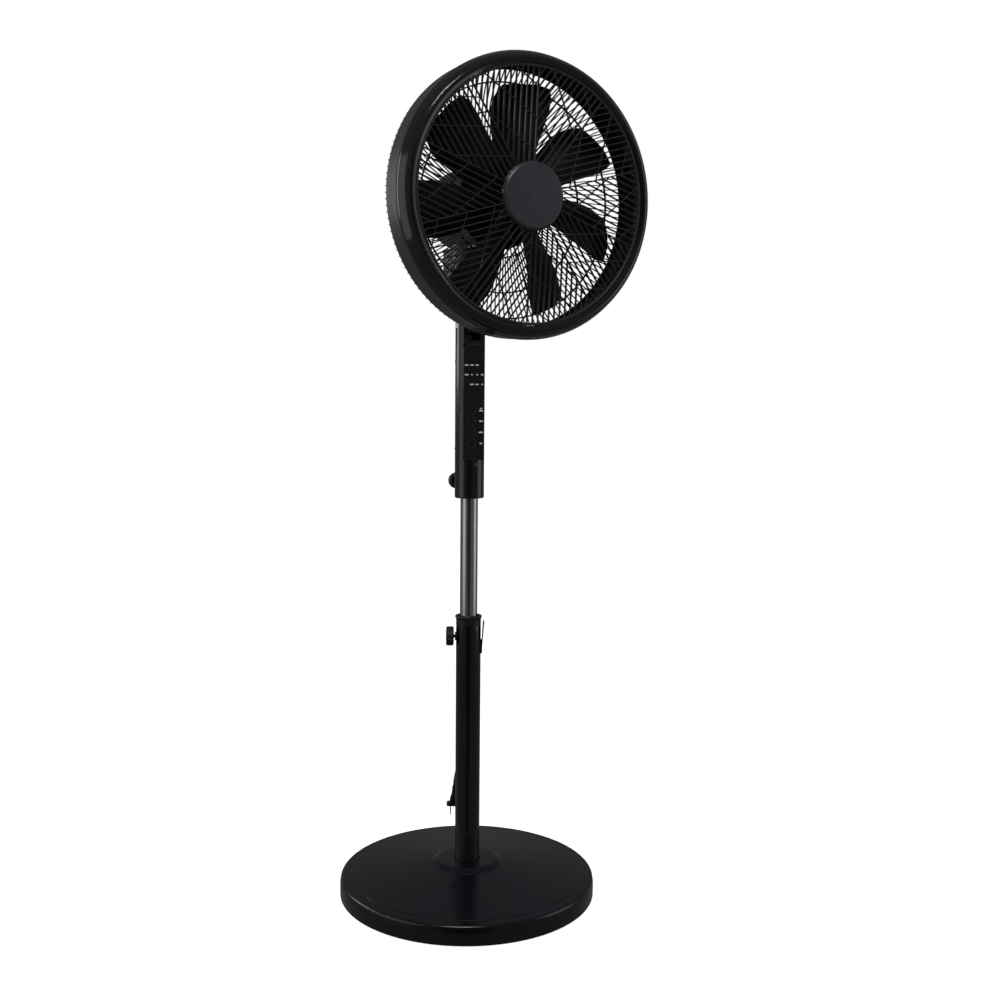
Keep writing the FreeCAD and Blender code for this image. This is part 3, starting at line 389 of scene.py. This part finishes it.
def lead_point(across, out, height):
    """A point in the lead's own frame: across to the right, out from the pole axis, height."""
    outward = Vector((math.cos(LEAD_BEARING), math.sin(LEAD_BEARING), 0))
    sideways = Vector((outward.y, -outward.x, 0))
    return outward * out + sideways * across + Vector((0, 0, height))


def ease(share):
    """A share of 0 to 1 that starts and ends gently."""
    return share * share * (3 - 2 * share)


def hank_points():
    """The hank: down the outer side, round below, up beside the pole and over, one diameter across a turn."""
    run = HANK_HIGH - HANK_LOW
    arc = math.pi * HANK_R
    turn_length = 2 * (run + arc)
    middle = (HANK_HIGH + HANK_LOW) / 2
    points = []
    for i in range(HANK_FIRST, int(HANK_TURNS * turn_length / HANK_STEP) + HANK_TAIL):
        turns = i * HANK_STEP / turn_length
        along = i * HANK_STEP % turn_length
        bend = along - run if along < turn_length / 2 else along - turn_length / 2 - run
        side = 1 if along < turn_length / 2 else -1
        swept = max(0.0, bend) / HANK_R
        height = side * (run / 2 - (bend + run if bend < 0 else run) - HANK_R * math.sin(swept))
        stretch = 1 + HANK_SLACK * math.sin(SLACK_RATE * turns + SLACK_START) / (run / 2)
        out = HANK_MID_OUT + side * HANK_R * math.cos(swept)
        across = LEAD_D * (HANK_TURNS / 2 - min(turns, HANK_TURNS))
        points.append(lead_point(across, out, middle + height * stretch))
    return points


def make_lead(materials):
    points = [lead_point(*(v * MM for v in p)) for p in LEAD_IN]
    points += hank_points()
    for i in range(LEAD_OUT_STEPS + 1):
        share = i / LEAD_OUT_STEPS
        late = max(0.0, (share - LEAD_OUT_LATE) / (1 - LEAD_OUT_LATE))
        across, out, height = (a + (b - a) * k for a, b, k in
                               zip(LEAD_OUT_TOP, LEAD_OUT_END, (ease(late), ease(share), share)))
        points.append(lead_point(across * MM, out * MM, height * MM))
    data = bpy.data.curves.new("power_lead", "CURVE")
    data.dimensions = "3D"
    spline = data.splines.new("NURBS")
    spline.points.add(len(points) - 1)
    for control, point in zip(spline.points, points):
        control.co = (*point, 1.0)
    spline.order_u = 3
    spline.use_endpoint_u = True
    spline.resolution_u = 4
    data.bevel_depth = LEAD_D / 2
    data.bevel_resolution = 5
    data.use_fill_caps = True
    lead = bpy.data.objects.new("power_lead", data)
    bpy.context.scene.collection.objects.link(lead)
    data.materials.append(materials["lead_pvc"])
    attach(lead, "stand")
    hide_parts("power_cord", "plug_cord", "cord_hank")


# ---- guards ----------------------------------------------------------------------------------------------
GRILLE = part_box("front_grille")
GRILLE_R = (GRILLE[1][0] - GRILLE[0][0]) / 2
GRILLE_FRONT = GRILLE[0][1]
CAP_R = (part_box("hub_cap")[1][0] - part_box("hub_cap")[0][0]) / 2
SECTORS = 10
SECTOR_START = math.radians(15.5)
RIB_PITCH = 0.0085
RIB_WIDTH = 0.0019
RIB_DEPTH = 0.0034
CROSS_BARS = (0.060, 0.104, 0.1475)
BAR_LEAN = math.radians(60)
GRILLE_RISE = 0.0005
RIM_WIDTH = 0.004
REAR_RIBS = 140
REAR_RIB_WIDTH = 0.0014
REAR_RIB_DEPTH = 0.0024
REAR_LEAN = math.radians(-9)
REAR_INNER_R = 0.064
REAR_OUTER_R = 0.1925
REAR_DISH_R = 0.1850
REAR_RINGS = (0.0765, 0.127, 0.164)
REAR_FLANGE_R = 0.1775
REAR_FLAT_R = 0.062
REAR_FLAT_Y = -0.0901
REAR_FALL = 0.0412
REAR_CURVE = 2.6
REAR_HUB_R = 0.0232
REAR_HUB_BACK = -0.0885
REAR_HUB_FRONT = -0.0918


def new_piece(name, bm, material, body):
    mesh = bpy.data.meshes.new(name)
    bmesh.ops.recalc_face_normals(bm, faces=bm.faces)
    bm.to_mesh(mesh)
    bm.free()
    piece = bpy.data.objects.new(name, mesh)
    bpy.context.scene.collection.objects.link(piece)
    mesh.materials.append(material)
    for polygon in mesh.polygons:
        polygon.use_smooth = True
    add_soft_normals(piece)
    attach(piece, body)
    return piece


def rib_section(width, depth):
    """Moulded rib: narrower, rounded front edge (-depth) and a square back (0)."""
    half = width / 2
    return [(half, 0), (half * 0.92, -depth * 0.72), (half * 0.55, -depth * 0.96),
            (-half * 0.55, -depth * 0.96), (-half * 0.92, -depth * 0.72), (-half, 0)]


def sweep(bm, path, normals, section, closed=False):
    """Run a section along a path; its second axis follows the given normals."""
    rings = []
    count = len(path)
    for i, (point, normal) in enumerate(zip(path, normals)):
        before = path[(i - 1) % count if closed else max(i - 1, 0)]
        after = path[(i + 1) % count if closed else min(i + 1, count - 1)]
        tangent = (after - before).normalized()
        side = tangent.cross(normal).normalized()
        lift = side.cross(tangent).normalized()
        rings.append([bm.verts.new(point + side * u + lift * v) for u, v in section])
    pairs = list(zip(rings, rings[1:]))
    if closed:
        pairs.append((rings[-1], rings[0]))
    for first, second in pairs:
        for j in range(len(section)):
            k = (j + 1) % len(section)
            bm.faces.new((first[j], first[k], second[k], second[j]))
    if not closed:
        bm.faces.new(rings[0])
        bm.faces.new(list(reversed(rings[-1])))


def head_point(radius, angle, y):
    return Vector((radius * math.cos(angle), y, HEAD_Z + radius * math.sin(angle)))


def grille_y(radius):
    """Front face of the grille: a shallow cone from the hub back to the rim."""
    return GRILLE_FRONT + GRILLE_RISE * max(0.0, radius - CAP_R) / (GRILLE_R - CAP_R)


def sector_line(bm, angle, start, end, width, depth, back):
    """A straight rib between two points given as (along, across) the sector's border."""
    path = []
    for i in range(5):
        share = i / 4
        along = start[0] + (end[0] - start[0]) * share
        across = start[1] + (end[1] - start[1]) * share
        radius = math.hypot(along, across)
        path.append(head_point(radius, angle + math.atan2(across, along), grille_y(radius) + back))
    sweep(bm, path, [Vector((0, 1, 0))] * 5, rib_section(width, depth))


def make_front_grille(materials):
    """Pinwheel grille: each sector's ribs run parallel to its own border rib."""
    bm = bmesh.new()
    wedge = 2 * math.pi / SECTORS
    rim = GRILLE_R - RIM_WIDTH / 2
    lean = 1 / math.tan(BAR_LEAN)
    for sector in range(SECTORS):
        angle = SECTOR_START + wedge * sector
        for row in range(int(rim * math.sin(wedge) / RIB_PITCH) + 1):
            across = row * RIB_PITCH
            near = across / math.tan(wedge)
            if across < CAP_R:
                near = max(near, math.sqrt(CAP_R ** 2 - across ** 2) - 0.002)
            far = math.sqrt(rim ** 2 - across ** 2)
            sector_line(bm, angle, (near, across), (far, across), RIB_WIDTH, RIB_DEPTH, RIB_DEPTH)
        for bar in CROSS_BARS:
            across = bar / (1 / math.tan(wedge) - lean)
            reach = rim - bar * math.cos(BAR_LEAN)
            across = min(across, reach * math.sin(BAR_LEAN))
            while math.hypot(bar + lean * across, across) > rim:
                across -= 0.001
            end = (bar + lean * across, across)
            sector_line(bm, angle, (bar, 0.0), end, RIB_WIDTH * 0.8, RIB_DEPTH * 0.75, RIB_DEPTH)
    add_ring(bm, rim, grille_y(rim) + RIB_DEPTH + 0.0004, RIM_WIDTH, RIB_DEPTH + 0.0006)
    add_ring(bm, CAP_R - 0.001, GRILLE_FRONT + RIB_DEPTH, 0.005, RIB_DEPTH)
    grille = new_piece("front_grille_ribs", bm, materials["grille_plastic"], "head")
    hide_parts("front_grille")


def add_ring(bm, radius, y, width, depth, steps=160):
    path = [head_point(radius, 2 * math.pi * i / steps, y) for i in range(steps)]
    sweep(bm, path, [Vector((0, 1, 0))] * steps, rib_section(width, depth), closed=True)


def rear_y(radius):
    """Middle of the rear dish, which falls forward towards its rim."""
    share = max(0.0, min(radius, REAR_DISH_R) - REAR_FLAT_R) / (REAR_DISH_R - REAR_FLAT_R)
    return REAR_FLAT_Y - REAR_FALL * share ** REAR_CURVE


def make_rear_guard(materials):
    """Rear guard: fine leaning ribs whose ends fold over the drum's rear edge as teeth, and three rings."""
    bm = bmesh.new()
    samples = 16
    for i in range(REAR_RIBS):
        start = REAR_INNER_R if i % 2 == 0 else REAR_RINGS[0]
        path = []
        normals = []
        for j in range(samples + 1):
            radius = start + (REAR_OUTER_R - start) * j / samples
            angle = 2 * math.pi * i / REAR_RIBS + REAR_LEAN * math.log(radius / REAR_INNER_R)
            step = 0.002
            slope = (rear_y(radius + step) - rear_y(radius - step)) / (2 * step)
            path.append(head_point(radius, angle, rear_y(radius) + 0.0015))
            outward = Vector((math.cos(angle), 0, math.sin(angle)))
            normals.append((Vector((0, 1, 0)) - outward * slope).normalized())
        sweep(bm, path, normals, rib_section(REAR_RIB_WIDTH, REAR_RIB_DEPTH))
    for radius in REAR_RINGS:
        add_ring(bm, radius, rear_y(radius) + 0.0013, 0.0022, 0.003)
    add_ring(bm, REAR_DISH_R + 0.001, rear_y(REAR_DISH_R) + 0.0004, 0.004, 0.0032)
    add_plate(bm, REAR_HUB_R, REAR_INNER_R + 0.0015, REAR_HUB_BACK, REAR_HUB_FRONT)
    add_plate(bm, REAR_FLANGE_R, REAR_DISH_R, rear_y(REAR_DISH_R) + 0.001, rear_y(REAR_DISH_R) - 0.0012)
    guard = new_piece("rear_guard_ribs", bm, materials["guard_plastic"], "head")
    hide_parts("rear_grille")


def add_plate(bm, inner, outer, y_back, y_front, steps=120):
    """Flat ring plate with slightly broken edges."""
    edge = 0.0006
    profile = [(inner, y_back), (outer - edge, y_back), (outer, y_back - edge), (outer, y_front + edge),
               (outer - edge, y_front), (inner, y_front)]
    rings = []
    for i in range(steps):
        angle = 2 * math.pi * i / steps
        rings.append([bm.verts.new(head_point(radius, angle, y)) for radius, y in profile])
    for i in range(steps):
        first, second = rings[i], rings[(i + 1) % steps]
        for j in range(len(profile)):
            k = (j + 1) % len(profile)
            bm.faces.new((first[j], first[k], second[k], second[j]))


# ---- printed marks and a painted edge highlight on the panel -----------------------------------------------
MARK_COLUMNS = (-0.0125, -0.0036, 0.0051, 0.0138)
MARK_ROWS = ((0.8313, (0.0064, 0.0060, 0.0052, 0.0)), (0.8168, (0.0064, 0.0030, 0.0034, 0.0046)),
             (0.8022, (0.0, 0.0068, 0.0054, 0.0030)))
BUTTON_MARKS = ((0.7655, 0.0040), (0.7622, 0.0064), (0.7465, 0.0066), (0.7295, 0.0072), (0.7125, 0.0046))
BUTTON_MARK_X = 0.0122
BUTTON_RING_GAP = 0.0009
BUTTON_RING_STEPS = 32
MARK_H = 0.0020
MARK_T = 0.00012
CLIP = 0.005
BORDER_INSET = 0.0007
BORDER_W = 0.0005
BUTTONS = ("power_button", "speed_button", "swing_button", "timer_button")


def add_mark(bm, x, z, width, height, y):
    """A printed dash with rounded corners."""
    round_r = min(width, height) * 0.45
    front = []
    back = []
    for corner, (side, lift) in enumerate(((1, 1), (-1, 1), (-1, -1), (1, -1))):
        for i in range(4):
            turn = math.pi / 2 * (corner + i / 3)
            px = x + side * (width / 2 - round_r) + math.cos(turn) * round_r
            pz = z + lift * (height / 2 - round_r) + math.sin(turn) * round_r
            front.append(bm.verts.new((px, y - MARK_T, pz)))
            back.append(bm.verts.new((px, y + MARK_T, pz)))
    bm.faces.new(front)
    for i in range(len(front)):
        j = (i + 1) % len(front)
        bm.faces.new((front[i], front[j], back[j], back[i]))
    bm.faces.new(list(reversed(back)))


def make_panel_marks(materials):
    """Generic printed dashes, a lighter border line that is a painted edge highlight, and a ring round each
    button.
    """
    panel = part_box("control_panel")
    bm = bmesh.new()
    for z, widths in MARK_ROWS:
        for x, width in zip(MARK_COLUMNS, widths):
            if width:
                add_mark(bm, x, z, width, MARK_H, panel[0][1])
    for z, width in BUTTON_MARKS:
        add_mark(bm, BUTTON_MARK_X, z, width, MARK_H, panel[0][1])
    new_piece("panel_marks", bm, materials["print_ink_with_painted_glow"], "mast")
    # The border line is a painted edge highlight: a lighter grey loop just inside the panel's clipped outline.
    low, high = panel[0][2], panel[1][2]
    left, right = panel[0][0] + BORDER_INSET, panel[1][0] - BORDER_INSET
    outline = ((left + CLIP, low), (right - CLIP, low), (right, low + CLIP), (right, high - CLIP / 2),
               (right - CLIP / 2, high), (left + CLIP, high), (left, high - CLIP), (left, low + CLIP))
    shrunk = [(x, min(max(z, low + BORDER_INSET), high - BORDER_INSET)) for x, z in outline]
    border = bmesh.new()
    flat = Vector((0, 1, 0))
    path = [Vector((x, panel[0][1] + MARK_T, z)) for x, z in shrunk]
    sweep(border, path, [flat] * len(path), rib_section(BORDER_W, MARK_T * 2), closed=True)
    for name in BUTTONS:
        low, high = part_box(name)
        radius = (high[0] - low[0]) / 2 + BUTTON_RING_GAP
        middle = Vector(((low[0] + high[0]) / 2, panel[0][1] + MARK_T, (low[2] + high[2]) / 2))
        ring = []
        for i in range(BUTTON_RING_STEPS):
            turn = 2 * math.pi * i / BUTTON_RING_STEPS
            ring.append(middle + Vector((radius * math.cos(turn), 0, radius * math.sin(turn))))
        sweep(border, ring, [flat] * len(ring), rib_section(BORDER_W, MARK_T * 2), closed=True)
    new_piece("panel_painted_border_highlight_and_rings", border, materials["painted_border_highlight_and_button_rings"], "mast")


make_camera()
MATERIALS = make_materials()
make_lead(MATERIALS)
make_studio()
dress_nodes(MATERIALS)
make_front_grille(MATERIALS)
make_rear_guard(MATERIALS)
make_panel_marks(MATERIALS)
